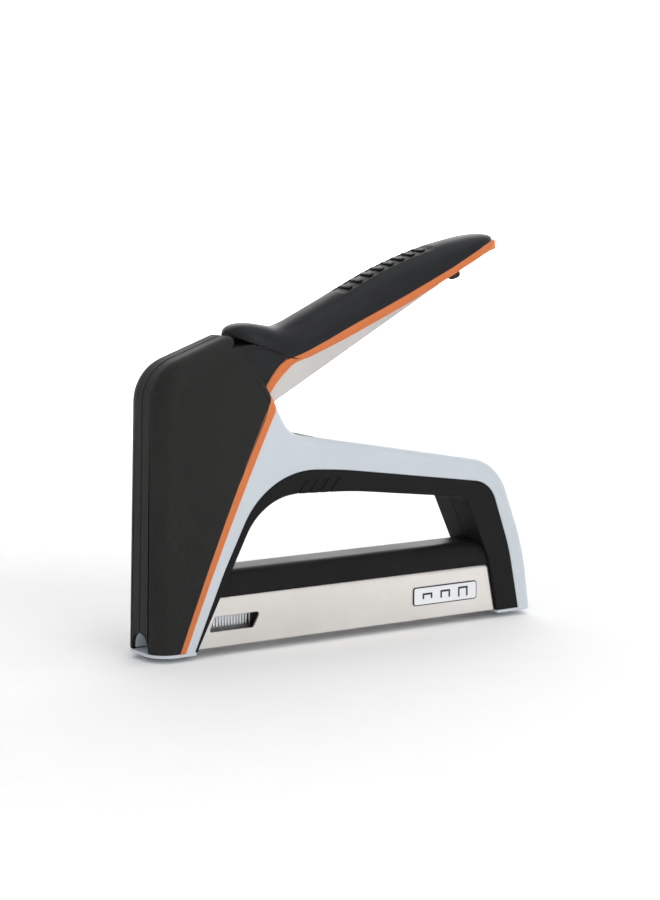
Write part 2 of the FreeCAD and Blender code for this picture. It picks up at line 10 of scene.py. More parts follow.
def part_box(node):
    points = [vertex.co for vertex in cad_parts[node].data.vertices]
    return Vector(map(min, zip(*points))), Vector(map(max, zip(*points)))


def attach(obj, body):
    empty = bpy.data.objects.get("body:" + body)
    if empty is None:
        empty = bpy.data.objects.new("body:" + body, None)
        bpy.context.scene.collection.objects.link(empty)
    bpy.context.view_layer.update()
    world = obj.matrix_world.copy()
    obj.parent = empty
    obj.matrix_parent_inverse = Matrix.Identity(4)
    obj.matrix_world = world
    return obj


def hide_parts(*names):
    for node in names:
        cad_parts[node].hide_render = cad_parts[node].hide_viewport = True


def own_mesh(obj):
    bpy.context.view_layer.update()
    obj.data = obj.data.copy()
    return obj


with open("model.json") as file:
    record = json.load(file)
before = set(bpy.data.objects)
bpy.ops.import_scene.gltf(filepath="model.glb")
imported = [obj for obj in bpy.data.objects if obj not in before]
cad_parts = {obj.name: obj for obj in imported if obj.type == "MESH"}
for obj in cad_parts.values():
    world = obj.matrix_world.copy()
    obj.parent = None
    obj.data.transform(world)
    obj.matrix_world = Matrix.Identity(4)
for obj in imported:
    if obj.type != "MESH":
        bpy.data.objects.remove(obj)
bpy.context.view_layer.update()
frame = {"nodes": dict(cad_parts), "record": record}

scene = bpy.context.scene
scene.view_settings.view_transform = "Standard"
print("frame loaded:", len(frame["nodes"]), "nodes")

toolLength = 171.5
halfLength = toolLength / 2   # pieces are drawn from X = 0 at the nose; the frame's origin is at the middle


def place(x, y, z):
    return Vector(((x - halfLength) / 1000, y / 1000, z / 1000))


def between(rows, x):
    # smooth interpolation in a table of rows that start with x
    if x <= rows[0][0]:
        return rows[0][1:]
    if x >= rows[-1][0]:
        return rows[-1][1:]
    k = max(i for i, row in enumerate(rows) if row[0] <= x)
    k = min(k, len(rows) - 2)
    a, b = rows[k], rows[k + 1]
    before = rows[max(k - 1, 0)]
    after = rows[min(k + 2, len(rows) - 1)]
    span = b[0] - a[0]
    t = (x - a[0]) / span
    values = []
    for i in range(1, len(a)):
        slopeA = (b[i] - before[i]) / (b[0] - before[0])
        slopeB = (after[i] - a[i]) / (after[0] - a[0])
        values.append((2 * t**3 - 3 * t**2 + 1) * a[i] + (t**3 - 2 * t**2 + t) * span * slopeA
                      + (3 * t**2 - 2 * t**3) * b[i] + (t**3 - t**2) * span * slopeB)
    return tuple(values)


# materials

class NodeBoard:
    # one material with the few node patterns that its finishes share

    def __init__(self, name):
        self.material = bpy.data.materials.new(name)
        self.material.use_nodes = True
        self.tree = self.material.node_tree
        self.tree.nodes.clear()
        self.output = self.add("ShaderNodeOutputMaterial")
        self.shader = self.add("ShaderNodeBsdfPrincipled")
        self.link(self.shader, "BSDF", self.output, "Surface")
        self.coords = self.add("ShaderNodeTexCoord")

    def add(self, kind, **settings):
        node = self.tree.nodes.new(kind)
        for key, value in settings.items():
            if hasattr(node, key):
                setattr(node, key, value)
            else:
                node.inputs[key.replace("_", " ")].default_value = value
        return node

    def link(self, source, out, target, into):
        self.tree.links.new(source.outputs[out], target.inputs[into])

    def noise(self, scale, stretch=(1, 1, 1), detail=4.0, roughness=0.55):
        mapping = self.add("ShaderNodeMapping")
        mapping.inputs["Scale"].default_value = stretch
        self.link(self.coords, "Object", mapping, "Vector")
        noise = self.add("ShaderNodeTexNoise")
        noise.inputs["Scale"].default_value = scale
        noise.inputs["Detail"].default_value = detail
        noise.inputs["Roughness"].default_value = roughness
        self.link(mapping, "Vector", noise, "Vector")
        return noise

    def ramp(self, source, low, high, out="Fac", start=0.3, end=0.7):
        reach = self.add("ShaderNodeMapRange")
        reach.inputs["From Min"].default_value = start
        reach.inputs["From Max"].default_value = end
        reach.inputs["To Min"].default_value = low
        reach.inputs["To Max"].default_value = high
        self.link(source, out, reach, "Value")
        return reach

    def tint(self, source, dark, light, out="Fac", start=0.3, end=0.7):
        mix = self.add("ShaderNodeMix", data_type="RGBA")
        mix.inputs[6].default_value = (*dark, 1)
        mix.inputs[7].default_value = (*light, 1)
        reach = self.ramp(source, 0.0, 1.0, out, start, end)
        self.link(reach, "Result", mix, 0)
        return mix

    def bump(self, source, strength, distance, after=None, out="Fac"):
        bump = self.add("ShaderNodeBump")
        bump.inputs["Strength"].default_value = strength
        bump.inputs["Distance"].default_value = distance
        self.link(source, out, bump, "Height")
        if after:
            self.link(after, "Normal", bump, "Normal")
        self.tree.links.new(bump.outputs["Normal"], self.shader.inputs["Normal"])
        return bump

    def colour(self, mix):
        self.tree.links.new(mix.outputs[2], self.shader.inputs["Base Color"])

    def roughness(self, reach):
        self.tree.links.new(reach.outputs["Result"], self.shader.inputs["Roughness"])


def mouldedPlastic(name, dark, light, rough, grain, grainDepth, patchScale=38.0, specular=0.5):
    # moulded plastic: eroded-tool grain, slow patches of shine and a trace of handling.
    board = NodeBoard(name)
    patches = board.noise(patchScale, detail=3.0)
    fine = board.noise(grain, detail=2.0, roughness=0.6)
    board.colour(board.tint(patches, dark, light))
    board.roughness(board.ramp(patches, rough[0], rough[1]))
    swell = board.bump(patches, 0.08, 0.0004)
    board.bump(fine, grainDepth, 0.00012, after=swell)
    board.shader.inputs["Specular IOR Level"].default_value = specular
    return board.material


def brushedMetal(name, dark, light, rough, stretch, scale, depth, metallic=1.0, anisotropy=0.0):
    # brushed sheet: long fine scratches along one direction over slow variation in shine.
    board = NodeBoard(name)
    lines = board.noise(scale, stretch=stretch, detail=6.0, roughness=0.7)
    patches = board.noise(30.0, detail=3.0)
    board.colour(board.tint(patches, dark, light))
    board.roughness(board.ramp(lines, rough[0], rough[1]))
    board.bump(lines, depth, 0.00005)
    board.shader.inputs["Metallic"].default_value = metallic
    board.shader.inputs["Anisotropic"].default_value = anisotropy
    return board.material


def plainMetal(name, dark, light, rough, scale=220.0, metallic=1.0):
    board = NodeBoard(name)
    grain = board.noise(scale, detail=5.0)
    board.colour(board.tint(grain, dark, light))
    board.roughness(board.ramp(grain, rough[0], rough[1]))
    board.bump(grain, 0.12, 0.00004)
    board.shader.inputs["Metallic"].default_value = metallic
    return board.material


finishes = {
    "cover_black": mouldedPlastic("coverTexturedPlastic", (0.0135, 0.014, 0.013), (0.0195, 0.02, 0.0188),
                                  (0.54, 0.64), 2600.0, 0.6, specular=0.15),
    "accent_orange": mouldedPlastic("orangeSatinPlastic", (0.56, 0.150, 0.038), (0.63, 0.170, 0.045),
                                    (0.42, 0.52), 2200.0, 0.18, specular=0.4),
    "frame_grey": mouldedPlastic("frameGreyPlastic", (0.525, 0.572, 0.618), (0.552, 0.600, 0.646),
                                 (0.38, 0.48), 1800.0, 0.14),
    "liner_rubber": mouldedPlastic("linerSoftRubber", (0.0045, 0.0045, 0.0047), (0.0075, 0.0075, 0.0078),
                                   (0.62, 0.74), 2400.0, 0.5, specular=0.2),
    "bar_black": mouldedPlastic("barSatinPlastic", (0.009, 0.009, 0.0095), (0.013, 0.013, 0.0135),
                                (0.46, 0.54), 1500.0, 0.16, specular=0.1),
    "grip_black": mouldedPlastic("gripSatinPlastic", (0.0105, 0.0112, 0.0130), (0.0155, 0.0163, 0.0185),
                                 (0.42, 0.52), 1700.0, 0.2, specular=0.17),
    "latch_black": mouldedPlastic("latchPlastic", (0.014, 0.014, 0.015), (0.02, 0.02, 0.021),
                                  (0.40, 0.5), 1500.0, 0.2),
    "bumper_rubber": mouldedPlastic("bumperRubber", (0.012, 0.012, 0.012), (0.018, 0.018, 0.018),
                                    (0.6, 0.72), 1800.0, 0.3),
    "label_white": mouldedPlastic("labelWhitePrint", (0.76, 0.77, 0.79), (0.82, 0.83, 0.85),
                                  (0.22, 0.30), 900.0, 0.06),
    "shroud_steel": brushedMetal("shroudBrushedSteel", (0.75, 0.722, 0.690), (0.83, 0.802, 0.770),
                                 (0.26, 0.40), (0.06, 1, 1.6), 2600.0, 0.16, anisotropy=0.5),
    "lever_steel": brushedMetal("leverBrushedSteel", (0.60, 0.575, 0.56), (0.70, 0.675, 0.66),
                                (0.30, 0.44), (1.6, 1, 0.12), 1800.0, 0.2, anisotropy=0.4),
    "rail_steel": plainMetal("railSteel", (0.36, 0.36, 0.36), (0.46, 0.46, 0.46), (0.34, 0.5)),
    "staple_zinc": plainMetal("stapleZinc", (0.60, 0.63, 0.66), (0.74, 0.77, 0.80), (0.22, 0.36)),
    "guide_steel": plainMetal("tipNickel", (0.60, 0.60, 0.60), (0.72, 0.72, 0.72), (0.18, 0.32)),
    "spring_steel": plainMetal("springSteel", (0.22, 0.22, 0.235), (0.32, 0.32, 0.335), (0.3, 0.42)),
    "pin_steel": plainMetal("groundPinSteel", (0.52, 0.52, 0.52), (0.64, 0.64, 0.64), (0.2, 0.32)),
    "screw_steel": plainMetal("blackenedScrewSteel", (0.05, 0.05, 0.053), (0.09, 0.09, 0.095), (0.34, 0.5)),
    "bush_brass": plainMetal("bushingBrass", (0.62, 0.42, 0.16), (0.72, 0.52, 0.22), (0.24, 0.38)),
}
print("finishes made:", len(finishes))
slotOf = {row["node"]: row["material_slot"] for row in frame["record"]["subparts"]}


# CAD pieces that stay

def smoothingTree():
    # joins a CAD mesh's loose triangles and shades it smooth except at its corners.
    tree = bpy.data.node_groups.new("joinAndSmooth", "GeometryNodeTree")
    tree.interface.new_socket("Geometry", in_out="INPUT", socket_type="NodeSocketGeometry")
    tree.interface.new_socket("Join Distance", in_out="INPUT", socket_type="NodeSocketFloat")
    tree.interface.new_socket("Corner Angle", in_out="INPUT", socket_type="NodeSocketFloat")
    tree.interface.new_socket("Geometry", in_out="OUTPUT", socket_type="NodeSocketGeometry")
    groupIn = tree.nodes.new("NodeGroupInput")
    groupOut = tree.nodes.new("NodeGroupOutput")
    join = tree.nodes.new("GeometryNodeMergeByDistance")
    faces = tree.nodes.new("GeometryNodeSetShadeSmooth")
    faces.domain = "FACE"
    edges = tree.nodes.new("GeometryNodeSetShadeSmooth")
    edges.domain = "EDGE"
    angle = tree.nodes.new("GeometryNodeInputMeshEdgeAngle")
    compare = tree.nodes.new("FunctionNodeCompare")
    compare.operation = "LESS_THAN"
    link = tree.links.new
    link(groupIn.outputs["Geometry"], join.inputs["Geometry"])
    link(groupIn.outputs["Join Distance"], join.inputs["Distance"])
    link(join.outputs["Geometry"], faces.inputs[0])
    link(angle.outputs["Unsigned Angle"], compare.inputs["A"])
    link(groupIn.outputs["Corner Angle"], compare.inputs["B"])
    link(faces.outputs[0], edges.inputs[0])
    link(compare.outputs["Result"], edges.inputs["Shade Smooth"])
    link(edges.outputs[0], groupOut.inputs[0])
    return tree


joinAndSmooth = smoothingTree()


def socketId(tree, name):
    for item in tree.interface.items_tree:
        if item.item_type == "SOCKET" and item.in_out == "INPUT" and item.name == name:
            return item.identifier
    raise KeyError(name)


def dressNode(name, edge=0.25, segments=2, corner=28.0):
    # gives a CAD node softened edges, smooth shading and the finish of its slot.
    node = frame["nodes"][name]
    node.data.materials.clear()
    node.data.materials.append(finishes[slotOf[name]])
    smooth = node.modifiers.new("joinAndSmooth", "NODES")
    smooth.node_group = joinAndSmooth
    smooth[socketId(joinAndSmooth, "Join Distance")] = 0.00001
    smooth[socketId(joinAndSmooth, "Corner Angle")] = math.radians(corner)
    if edge:
        flat = node.modifiers.new("flatFaces", "DECIMATE")
        flat.decimate_type = "DISSOLVE"
        flat.angle_limit = math.radians(0.6)
        soft = node.modifiers.new("softEdges", "BEVEL")
        soft.width = edge / 1000
        soft.segments = segments
        soft.limit_method = "ANGLE"
        soft.angle_limit = math.radians(corner + 4)
        soft.use_clamp_overlap = False
        soft.harden_normals = True
    shade = node.modifiers.new("weightedNormals", "WEIGHTED_NORMAL")
    shade.keep_sharp = True
    return node


edgeWidths = {
    "body_shell": 0.3, "nose_cover": 0.55, "accent_strip": 0.12, "grip_liner": 0.3,
    "magazine_cover_bar": 0.4, "magazine_shroud": 0.18, "driver_guide": 0.15,
    "magazine_latch": 0.35, "plunger_bumper": 0.3, "pusher": 0.3, "lever_arms": 0.25,
    "lever_neck_guard": 0.3, "staple_rail": 0.12, "plunger": 0.2, "driver_blade": 0.08,
    "spring_seat": 0.15, "rod_clip": 0.1, "guide_rod": 0.25, "lever_bumper": 0.0,
    "lever_bushing": 0.1, "lever_pivot_pin": 0.3, "lift_pins": 0.3, "blade_rivet": 0.15,
    "lever_rivets": 0.2,
}
for nodeName in frame["nodes"]:
    plain = nodeName.replace("left_", "").replace("right_", "")
    if plain in edgeWidths:
        dressNode(nodeName, edgeWidths[plain])
print("CAD pieces dressed")


# mesh helpers

def newPiece(name, mesh, slot, body, *replaced):
    # wraps a finished mesh as a piece of the tool.
    piece = bpy.data.objects.new(name, mesh)
    scene.collection.objects.link(piece)
    if not mesh.materials:
        mesh.materials.append(finishes[slot])
    if replaced:
        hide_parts(*replaced)
    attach(piece, body)
    return piece


def smoothShade(mesh, angle=32.0):
    mesh.polygons.foreach_set("use_smooth", [True] * len(mesh.polygons))
    mesh.set_sharp_from_angle(angle=math.radians(angle))


def bridgeRings(rings, closeRing=True):
    # skins a list of equally long rings of points and caps both ends.
    shape = bmesh.new()
    loops = [[shape.verts.new(point) for point in ring] for ring in rings]
    count = len(rings[0])
    for a, b in zip(loops, loops[1:]):
        for i in range(count if closeRing else count - 1):
            j = (i + 1) % count
            shape.faces.new((a[i], a[j], b[j], b[i]))
    shape.faces.new(list(reversed(loops[0])))
    shape.faces.new(loops[-1])
    bmesh.ops.remove_doubles(shape, verts=shape.verts, dist=0.000001)
    bmesh.ops.recalc_face_normals(shape, faces=shape.faces)
    return shape


def toMesh(shape, name):
    mesh = bpy.data.meshes.new(name)
    shape.to_mesh(mesh)
    shape.free()
    return mesh


# nose covers
cover = {"stray": 0.6}


def buildCover(side):
    # the cover with its softened edges; a point that lands off the skin at a tight corner is put back on it
    name = side + "_nose_cover"
    node = frame["nodes"][name]
    depsgraph = bpy.context.evaluated_depsgraph_get()
    mesh = bpy.data.meshes.new_from_object(node.evaluated_get(depsgraph), depsgraph=depsgraph)
    node.modifiers.clear()
    corners = [vertex.co for vertex in node.data.vertices]
    skin = BVHTree.FromPolygons(corners, [tuple(face.vertices) for face in node.data.polygons])
    for vertex in mesh.vertices:
        nearest = skin.find_nearest(vertex.co)
        if nearest[3] > cover["stray"] / 1000:
            vertex.co = nearest[0]
    return newPiece(side + "_cover_skin", mesh, slotOf[name], "housing", name)


for side in ("left", "right"):
    buildCover(side)
print("covers finished")


# lever grip

grip = {
    "start": 36.8,
    "end": 156.2,
    "stations": 120,
    "around": 40,
    "squareness": 2.5,
    "panelFrom": 86.0,
    "panelTo": 127.0,
    "panelHalf": 4.6,
    "panelDepth": 0.8,
    # x, edge height, crown height, half width
    "sections": [
        (36.8, 116.9, 117.4, 0.8),
        (37.4, 116.5, 118.0, 3.0),
        (38.8, 115.5, 119.0, 5.3),
        (40.7, 114.6, 119.7, 7.3),
        (43.2, 113.6, 120.1, 9.0),
        (46.5, 112.4, 120.1, 10.2),
        (51.0, 110.9, 119.4, 10.8),
        (56.0, 108.6, 118.5, 10.8),
        (59.5, 107.1, 118.7, 10.8),
        (64.0, 107.2, 120.2, 10.8),
        (68.0, 109.6, 121.9, 10.8),
        (78.0, 114.5, 126.4, 10.8),
        (89.0, 119.4, 131.5, 10.8),
        (100.0, 123.8, 136.5, 10.8),
        (110.0, 128.1, 140.3, 10.8),
        (121.0, 132.9, 143.8, 10.7),
        (132.0, 137.7, 146.5, 10.4),
        (143.0, 142.8, 148.5, 9.7),
        (148.0, 144.9, 149.1, 8.7),
        (151.5, 145.9, 149.2, 7.4),
        (154.0, 146.3, 149.0, 5.5),
        (155.6, 146.5, 148.5, 3.4),
        (156.2, 146.7, 147.8, 1.2),
    ],
}


def gripRing(x):
    edge, crown, half = between(grip["sections"], x)
    ring = []
    count = grip["around"]
    for i in range(count + 1):
        turn = math.pi * i / count
        c = math.cos(turn)
        s = math.sin(turn)
        power = 2 / grip["squareness"]
        y = -half * math.copysign(abs(c) ** power, c)
        z = edge + (crown - edge) * s ** power
        ring.append([x, y, z])
    under = 10
    for i in range(1, under):
        y = half * (1 - 2 * i / under)
        hollow = min(1.0, (crown - edge) / 6) * (1 - (y / max(half, 0.01)) ** 6)
        ring.append([x, y, edge + 0.9 * hollow])
    return ring


def sinkPanel(ring):
    # recess for the ribbed panel in the crown of the grip.
    x = ring[0][0]
    ends = min(x - grip["panelFrom"], grip["panelTo"] - x)
    if ends <= 0:
        return
    alongness = min(1.0, ends / 0.9)
    for point in ring:
        across = grip["panelHalf"] + 0.5 - abs(point[1])
        if across > 0 and point[2] > between(grip["sections"], x)[0] + 2:
            point[2] -= grip["panelDepth"] * alongness * min(1.0, across / 0.9)


def buildGrip():
    rings = []
    for i in range(grip["stations"] + 1):
        t = i / grip["stations"]
        x = grip["start"] + (grip["end"] - grip["start"]) * t
        ring = gripRing(x)
        sinkPanel(ring)
        rings.append([place(*point) for point in ring])
    mesh = toMesh(bridgeRings(rings), "lever_handle_grip")
    smoothShade(mesh, 50.0)
    return newPiece("lever_handle_grip", mesh, "grip_black", "lever", "lever_grip")


gripPiece = buildGrip()
print("grip built:", len(gripPiece.data.polygons), "faces")


# orange trim of the lever
trim = {
    "wall": 1.9,
    "edge": 0.35,
    # upper edge x, z, lower edge x, z, half width, from the neck to the tip
    "sections": [
        (44.8, 90.5, 48.2, 90.5, 10.35),
        (46.6, 94.3, 50.6, 95.4, 10.35),
        (48.7, 98.3, 52.8, 98.3, 10.35),
        (50.7, 101.0, 55.2, 100.8, 10.4),
        (52.8, 103.6, 57.6, 103.0, 10.5),
        (54.8, 105.4, 59.3, 104.5, 10.6),
        (56.9, 106.7, 61.5, 105.7, 10.7),
        (59.8, 107.7, 64.2, 106.5, 10.8),
        (63.0, 108.6, 66.9, 107.2, 10.9),
        (66.7, 109.9, 69.6, 108.2, 10.95),
        (77.3, 114.3, 78.6, 111.5, 10.95),
        (88.0, 118.8, 89.0, 115.6, 10.95),
        (98.8, 123.2, 99.4, 120.0, 10.95),
        (109.7, 127.8, 109.8, 124.3, 10.95),
        (120.8, 132.6, 120.9, 129.4, 10.85),
        (132.0, 137.5, 132.1, 134.5, 10.55),
        (139.0, 141.0, 139.1, 137.8, 10.15),
        (144.0, 143.4, 144.1, 140.0, 9.75),
        (148.0, 145.1, 148.1, 141.8, 9.1),
        (151.0, 146.1, 151.1, 142.8, 8.3),
        (153.6, 146.8, 153.75, 143.3, 7.2),
        (155.4, 147.1, 155.85, 143.5, 5.8),
        (156.6, 147.1, 157.3, 143.7, 3.9),
        (157.2, 147.0, 158.0, 143.8, 1.4),
    ],
}


def trimRings():
    leftSide = [(row, -1) for row in trim["sections"]]
    rows = leftSide + [(row, 1) for row in reversed(trim["sections"])]
    middles = [Vector(((row[0] + row[2]) / 2, side * row[4])) for row, side in rows]
    rings = []
    for i, (row, side) in enumerate(rows):
        along = middles[min(i + 1, len(rows) - 1)] - middles[max(i - 1, 0)]
        inward = Vector((-along.y, along.x, 0)).normalized()
        top = Vector((row[0], side * row[4], row[1]))
        low = Vector((row[2], side * row[4], row[3]))
        down = (low - top).normalized()
        wall = trim["wall"]
        edge = trim["edge"]
        points = [
            top + down * edge, low - down * edge, low + inward * edge, low + inward * (wall - edge),
            low + inward * wall - down * edge, top + inward * wall + down * edge,
            top + inward * (wall - edge), top + inward * edge,
        ]
        rings.append([place(*point) for point in points])
    return rings


def buildTrim():
    mesh = toMesh(bridgeRings(trimRings()), "lever_trim_band")
    smoothShade(mesh, 50.0)
    return newPiece("lever_trim_band", mesh, slotOf["lever_trim"], "lever", "lever_trim")


buildTrim()
print("trim built")

# ribbed panel in the grip

def instanceTree(name, prototype, material):
    # instances of one small mesh in a straight row.
    tree = bpy.data.node_groups.new(name, "GeometryNodeTree")
    tree.interface.new_socket("Geometry", in_out="INPUT", socket_type="NodeSocketGeometry")
    tree.interface.new_socket("Count", in_out="INPUT", socket_type="NodeSocketInt")
    tree.interface.new_socket("Start", in_out="INPUT", socket_type="NodeSocketVector")
    tree.interface.new_socket("Step", in_out="INPUT", socket_type="NodeSocketVector")
    tree.interface.new_socket("Turn", in_out="INPUT", socket_type="NodeSocketVector")
    tree.interface.new_socket("Geometry", in_out="OUTPUT", socket_type="NodeSocketGeometry")
    groupIn = tree.nodes.new("NodeGroupInput")
    groupOut = tree.nodes.new("NodeGroupOutput")
    row = tree.nodes.new("GeometryNodeMeshLine")
    item = tree.nodes.new("GeometryNodeObjectInfo")
    item.inputs["Object"].default_value = prototype
    copies = tree.nodes.new("GeometryNodeInstanceOnPoints")
    real = tree.nodes.new("GeometryNodeRealizeInstances")
    paint = tree.nodes.new("GeometryNodeSetMaterial")
    paint.inputs["Material"].default_value = material
    link = tree.links.new
    link(groupIn.outputs["Count"], row.inputs["Count"])
    link(groupIn.outputs["Start"], row.inputs["Start Location"])
    link(groupIn.outputs["Step"], row.inputs["Offset"])
    link(row.outputs["Mesh"], copies.inputs["Points"])
    link(item.outputs["Geometry"], copies.inputs["Instance"])
    link(groupIn.outputs["Turn"], copies.inputs["Rotation"])
    link(copies.outputs["Instances"], real.inputs["Geometry"])
    link(real.outputs["Geometry"], paint.inputs["Geometry"])
    link(paint.outputs["Geometry"], groupOut.inputs[0])
    return tree


def rowMesh(name, prototypeMesh, slot, count, start, step, turn=(0, 0, 0)):
    # runs the row tree once and returns the plain mesh it makes.
    prototype = bpy.data.objects.new(name + "Item", prototypeMesh)
    scene.collection.objects.link(prototype)
    carrier = bpy.data.objects.new(name + "Carrier", bpy.data.meshes.new(name + "Carrier"))
    scene.collection.objects.link(carrier)
    tree = instanceTree(name + "Row", prototype, finishes[slot])
    modifier = carrier.modifiers.new("row", "NODES")
    modifier.node_group = tree
    modifier[socketId(tree, "Count")] = count
    modifier[socketId(tree, "Start")] = start
    modifier[socketId(tree, "Step")] = step
    modifier[socketId(tree, "Turn")] = turn
    depsgraph = bpy.context.evaluated_depsgraph_get()
    mesh = bpy.data.meshes.new_from_object(carrier.evaluated_get(depsgraph), depsgraph=depsgraph)
    carrier.modifiers.clear()
    bpy.data.objects.remove(carrier)
    bpy.data.objects.remove(prototype)
    return mesh


def pointsTree(name, prototype, material):
    # copies of one small mesh at a carrier's points, tilted along the path through them
    tree = bpy.data.node_groups.new(name, "GeometryNodeTree")
    tree.interface.new_socket("Geometry", in_out="INPUT", socket_type="NodeSocketGeometry")
    tree.interface.new_socket("Follow Path", in_out="INPUT", socket_type="NodeSocketFloat")
    tree.interface.new_socket("Size", in_out="INPUT", socket_type="NodeSocketFloat")
    tree.interface.new_socket("Geometry", in_out="OUTPUT", socket_type="NodeSocketGeometry")
    groupIn = tree.nodes.new("NodeGroupInput")
    groupOut = tree.nodes.new("NodeGroupOutput")
    path = tree.nodes.new("GeometryNodeMeshToCurve")
    tangent = tree.nodes.new("GeometryNodeInputTangent")
    tilt = tree.nodes.new("FunctionNodeAlignRotationToVector")
    tilt.axis = "X"
    item = tree.nodes.new("GeometryNodeObjectInfo")
    item.inputs["Object"].default_value = prototype
    copies = tree.nodes.new("GeometryNodeInstanceOnPoints")
    real = tree.nodes.new("GeometryNodeRealizeInstances")
    paint = tree.nodes.new("GeometryNodeSetMaterial")
    paint.inputs["Material"].default_value = material
    link = tree.links.new
    link(groupIn.outputs["Geometry"], path.inputs["Mesh"])
    link(groupIn.outputs["Follow Path"], tilt.inputs["Factor"])
    link(tangent.outputs["Tangent"], tilt.inputs["Vector"])
    link(path.outputs["Curve"], copies.inputs["Points"])
    link(item.outputs["Geometry"], copies.inputs["Instance"])
    link(tilt.outputs["Rotation"], copies.inputs["Rotation"])
    link(groupIn.outputs["Size"], copies.inputs["Scale"])
    link(copies.outputs["Instances"], real.inputs["Geometry"])
    link(real.outputs["Geometry"], paint.inputs["Geometry"])
    link(paint.outputs["Geometry"], groupOut.inputs[0])
    return tree


def copiesAt(name, prototypeMesh, slot, points, followPath):
    # runs the points tree once and returns the plain mesh it makes
    prototype = bpy.data.objects.new(name + "Item", prototypeMesh)
    scene.collection.objects.link(prototype)
    line = bpy.data.meshes.new(name + "Line")
    line.from_pydata(points, [(i, i + 1) for i in range(len(points) - 1)], [])
    carrier = bpy.data.objects.new(name + "Carrier", line)
    scene.collection.objects.link(carrier)
    tree = pointsTree(name + "Copies", prototype, finishes[slot])
    modifier = carrier.modifiers.new("copies", "NODES")
    modifier.node_group = tree
    modifier[socketId(tree, "Follow Path")] = followPath
    modifier[socketId(tree, "Size")] = 1.0
    depsgraph = bpy.context.evaluated_depsgraph_get()
    mesh = bpy.data.meshes.new_from_object(carrier.evaluated_get(depsgraph), depsgraph=depsgraph)
    carrier.modifiers.clear()
    bpy.data.objects.remove(carrier)
    bpy.data.objects.remove(prototype)
    return mesh


def softBlock(length, width, height, edge, segments=2):
    # A small block with rounded edges, its base at the origin.
    shape = bmesh.new()
    bmesh.ops.create_cube(shape, size=1.0, matrix=Matrix.Diagonal((length, width, height, 1)))
    bmesh.ops.translate(shape, verts=shape.verts, vec=(0, 0, height / 2))
    bmesh.ops.bevel(shape, geom=shape.edges[:], offset=edge, segments=segments, profile=0.5, affect="EDGES")
    return toMesh(shape, "softBlock")


panel = {
    "ribs": 8,
    "from": 90.0,
    "to": 123.2,
    "ribLength": 1.9,
    "ribWidth": 7.4,
    "ribHeight": 0.75,
    "ribEdge": 0.28,
    "sunk": 0.12,
}


def buildPanel():
    points = []
    for i in range(panel["ribs"]):
        x = panel["from"] + (panel["to"] - panel["from"]) * i / (panel["ribs"] - 1)
        crown = between(grip["sections"], x)[1]
        points.append(place(x, 0, crown - grip["panelDepth"] - panel["sunk"]))
    rib = softBlock(panel["ribLength"] / 1000, panel["ribWidth"] / 1000, panel["ribHeight"] / 1000,
                    panel["ribEdge"] / 1000, 3)
    mesh = copiesAt("gripRibs", rib, "grip_black", points, 1.0)
    smoothShade(mesh, 40.0)
    return newPiece("lever_inset_panel", mesh, "grip_black", "lever", "lever_inset")


buildPanel()
print("ribbed panel built")


# springs

def coilTree(name, material):
    # A round wire wound along a helix, with its ends closed.
    tree = bpy.data.node_groups.new(name, "GeometryNodeTree")
    tree.interface.new_socket("Geometry", in_out="INPUT", socket_type="NodeSocketGeometry")
    for label in ("Radius", "Length", "Turns", "Wire"):
        tree.interface.new_socket(label, in_out="INPUT", socket_type="NodeSocketFloat")
    tree.interface.new_socket("Geometry", in_out="OUTPUT", socket_type="NodeSocketGeometry")
    groupIn = tree.nodes.new("NodeGroupInput")
    groupOut = tree.nodes.new("NodeGroupOutput")
    spiral = tree.nodes.new("GeometryNodeCurveSpiral")
    spiral.inputs["Resolution"].default_value = 36
    section = tree.nodes.new("GeometryNodeCurvePrimitiveCircle")
    section.inputs["Resolution"].default_value = 12
    sweep = tree.nodes.new("GeometryNodeCurveToMesh")
    sweep.inputs["Fill Caps"].default_value = True
    real = tree.nodes.new("GeometryNodeRealizeInstances")
    paint = tree.nodes.new("GeometryNodeSetMaterial")
    paint.inputs["Material"].default_value = material
    link = tree.links.new
    link(groupIn.outputs["Radius"], spiral.inputs["Start Radius"])
    link(groupIn.outputs["Radius"], spiral.inputs["End Radius"])
    link(groupIn.outputs["Length"], spiral.inputs["Height"])
    link(groupIn.outputs["Turns"], spiral.inputs["Rotations"])
    link(groupIn.outputs["Wire"], section.inputs["Radius"])
    link(spiral.outputs["Curve"], sweep.inputs["Curve"])
    link(section.outputs["Curve"], sweep.inputs["Profile Curve"])
    link(sweep.outputs["Mesh"], real.inputs["Geometry"])
    link(real.outputs["Geometry"], paint.inputs["Geometry"])
    link(paint.outputs["Geometry"], groupOut.inputs[0])
    return tree


def coilMesh(name, radius, wire, length, turns, matrix):
    carrier = bpy.data.objects.new(name + "Carrier", bpy.data.meshes.new(name + "Carrier"))
    scene.collection.objects.link(carrier)
    tree = coilTree(name + "Coil", finishes["spring_steel"])
    modifier = carrier.modifiers.new("coil", "NODES")
    modifier.node_group = tree
    modifier[socketId(tree, "Radius")] = radius / 1000
    modifier[socketId(tree, "Length")] = length / 1000
    modifier[socketId(tree, "Turns")] = float(turns)
    modifier[socketId(tree, "Wire")] = wire / 2000
    depsgraph = bpy.context.evaluated_depsgraph_get()
    mesh = bpy.data.meshes.new_from_object(carrier.evaluated_get(depsgraph), depsgraph=depsgraph)
    carrier.modifiers.clear()
    bpy.data.objects.remove(carrier)
    mesh.transform(matrix)
    smoothShade(mesh, 60.0)
    return mesh


mainSpring = {"radius": 4.2, "wire": 1.8, "bottom": 40.9, "top": 99.9, "turns": 11, "x": 13.5,
              "floor": 40.0, "seat": 100.8, "lift": 15.8}
pusherSpring = {"radius": 2.6, "wire": 0.6, "turns": 30, "z": 10.2, "travel": 60.0}


